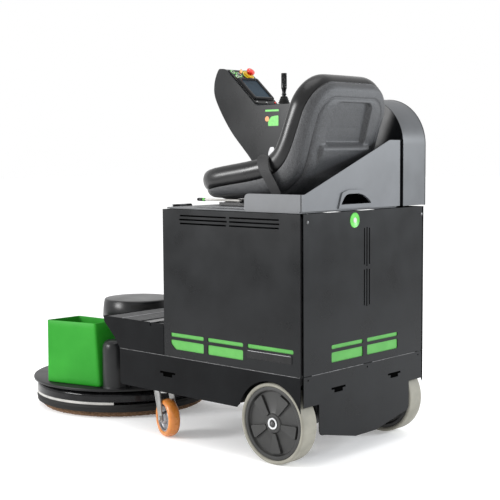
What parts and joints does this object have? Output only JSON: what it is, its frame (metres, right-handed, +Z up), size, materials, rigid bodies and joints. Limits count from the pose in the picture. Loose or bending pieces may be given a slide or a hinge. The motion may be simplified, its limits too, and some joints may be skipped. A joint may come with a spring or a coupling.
{
  "type": "ride-on floor burnisher",
  "caption": "Ride-on battery floor burnisher: boxed battery body, tilting seat deck, side console with joystick, casters and a belt-driven round pad head on a powered lift.",
  "frame": {"origin": "middle of the overall footprint, on the floor", "axes": "+Y is the way it drives, +X is the operator's right, +Z is up"},
  "size_m": [0.81, 1.828, 1.5025],
  "materials": {
    "charcoal_paint": "textured charcoal powder coat",
    "frame_paint": "black powder coat",
    "black_plastic": "matt moulded black",
    "black_rubber": "matt rubber",
    "seat_vinyl": "smooth black vinyl",
    "grained_shell": "grained moulded shell",
    "green_paint": "bright green satin",
    "window_green": "bright green strip",
    "tyre_grey": "non-marking grey rubber",
    "orange_tread": "orange polyurethane",
    "zinc": "zinc plated",
    "chrome": "bright",
    "cast_alloy": "as cast",
    "white_strip": "off-white",
    "brown_fibre": "coarse brown fibre",
    "red_plastic": "red",
    "yellow_plastic": "yellow",
    "screen_glass": "dark blue-grey",
    "webbing": "woven webbing"
  },
  "bodies": {
    "chassis": {"chassis_frame": "frame_paint", "left_panel": "charcoal_paint", "right_panel": "charcoal_paint", "rear_panel": "charcoal_paint", "step_panel": "charcoal_paint", "left_skirt": "charcoal_paint", "right_skirt": "charcoal_paint", "rear_skirt": "charcoal_paint", "front_cowl": "charcoal_paint", "left_window": "window_green", "right_window": "window_green", "rear_window": "window_green", "battery_pack": "black_plastic", "left_gearmotor": "frame_paint", "right_gearmotor": "frame_paint", "lift_actuator": "frame_paint", "left_hinge": "frame_paint", "right_hinge": "frame_paint", "console_shell": "charcoal_paint", "screen_bezel": "black_plastic", "screen": "screen_glass", "estop_base": "yellow_plastic"},
    "left_drive_wheel": {"left_tyre": "tyre_grey", "left_rim": "black_plastic", "left_hub_cap": "chrome"},
    "right_drive_wheel": {"right_tyre": "tyre_grey", "right_rim": "black_plastic", "right_hub_cap": "chrome"},
    "left_swivel": {"left_caster_fork": "zinc"},
    "left_roller": {"left_caster_wheel": "orange_tread"},
    "right_swivel": {"right_caster_fork": "zinc"},
    "right_roller": {"right_caster_wheel": "orange_tread"},
    "head": {"head_plate": "frame_paint", "head_housing": "black_plastic", "head_band": "white_strip", "head_skirt": "black_rubber", "drive_belt": "black_rubber", "belt_cover": "frame_paint", "head_motor": "frame_paint", "motor_cap": "black_plastic", "dust_fan": "black_plastic", "green_bin": "green_paint", "head_carriage": "frame_paint", "actuator_rod": "zinc"},
    "pad": {"pad_driver": "cast_alloy", "burnish_pad": "brown_fibre"},
    "pulley": {"motor_pulley": "zinc"},
    "deck": {"seat_deck": "charcoal_paint", "rear_guard": "charcoal_paint", "seat_slide_lower": "frame_paint"},
    "seat": {"seat_slide_upper": "frame_paint", "seat_shell": "grained_shell", "seat_cushion": "seat_vinyl", "back_cushion": "seat_vinyl", "seat_belt": "webbing"},
    "lever": {"slide_lever": "white_strip"},
    "estop": {"estop_button": "red_plastic"},
    "key": {"key_switch": "zinc"},
    "gimbal": {"joystick_gimbal": "zinc"},
    "stick": {"joystick_stick": "black_plastic"}
  },
  "joints": [
    {"name": "left_wheel_roll", "type": "hinge", "parent": "chassis", "child": "left_drive_wheel", "pos_m": [-0.331, -0.72698, 0.15], "axis": [1, 0, 0], "continuous": true},
    {"name": "right_wheel_roll", "type": "hinge", "parent": "chassis", "child": "right_drive_wheel", "pos_m": [0.331, -0.72698, 0.15], "axis": [1, 0, 0], "continuous": true},
    {"name": "left_caster_swivel", "type": "hinge", "parent": "chassis", "child": "left_swivel", "pos_m": [-0.32, -0.10398, 0.186], "axis": [0, 0, 1], "continuous": true},
    {"name": "left_caster_roll", "type": "hinge", "parent": "left_swivel", "child": "left_roller", "pos_m": [-0.33262, -0.13982, 0.076], "axis": [0.9432, -0.3322, 0], "continuous": true},
    {"name": "right_caster_swivel", "type": "hinge", "parent": "chassis", "child": "right_swivel", "pos_m": [0.32, -0.10398, 0.186], "axis": [0, 0, 1], "continuous": true},
    {"name": "right_caster_roll", "type": "hinge", "parent": "right_swivel", "child": "right_roller", "pos_m": [0.30738, -0.13982, 0.076], "axis": [0.9432, -0.3322, 0], "continuous": true},
    {"name": "head_lift", "type": "slide", "parent": "chassis", "child": "head", "axis": [0, 0, 1], "range_m": [0, 0.05]},
    {"name": "pad_spin", "type": "hinge", "parent": "head", "child": "pad", "pos_m": [0, 0.50902, 0.027], "axis": [0, 0, 1], "continuous": true},
    {"name": "pulley_spin", "type": "hinge", "parent": "head", "child": "pulley", "pos_m": [0, 0.39902, 0.15], "axis": [0, 0, 1], "continuous": true},
    {"name": "deck_tilt", "type": "hinge", "parent": "chassis", "child": "deck", "pos_m": [0, -0.17798, 0.924], "axis": [-1, 0, 0], "range_deg": [0, 60]},
    {"name": "seat_slide", "type": "slide", "parent": "deck", "child": "seat", "axis": [0, 1, 0], "range_m": [-0.02, 0.08]},
    {"name": "lever_release", "type": "hinge", "parent": "seat", "child": "lever", "pos_m": [-0.262, -0.47598, 0.9489], "axis": [0, 0, 1], "range_deg": [0, 10], "stiffness_Nm_per_rad": 3, "springref_deg": -5.73},
    {"name": "estop_press", "type": "slide", "parent": "chassis", "child": "estop", "axis": [0, 0.6717, -0.7409], "range_m": [0, 0.005], "stiffness_N_per_m": 2000, "springref_m": -0.002},
    {"name": "key_turn", "type": "hinge", "parent": "chassis", "child": "key", "pos_m": [0.285, 0.03413, 1.47246], "axis": [0, -0.6717, 0.7409], "range_deg": [-60, 0]},
    {"name": "joystick_fore_aft", "type": "hinge", "parent": "chassis", "child": "gimbal", "pos_m": [0.31, -0.20498, 1.323], "axis": [1, 0, 0], "range_deg": [-12, 12], "stiffness_Nm_per_rad": 2},
    {"name": "joystick_side", "type": "hinge", "parent": "gimbal", "child": "stick", "pos_m": [0.31, -0.20498, 1.323], "axis": [0, 1, 0], "range_deg": [-12, 12], "stiffness_Nm_per_rad": 2}
  ],
  "couplings": [
    {"joint": "pulley_spin", "follows": "pad_spin", "ratio": 1.5294}
  ]
}
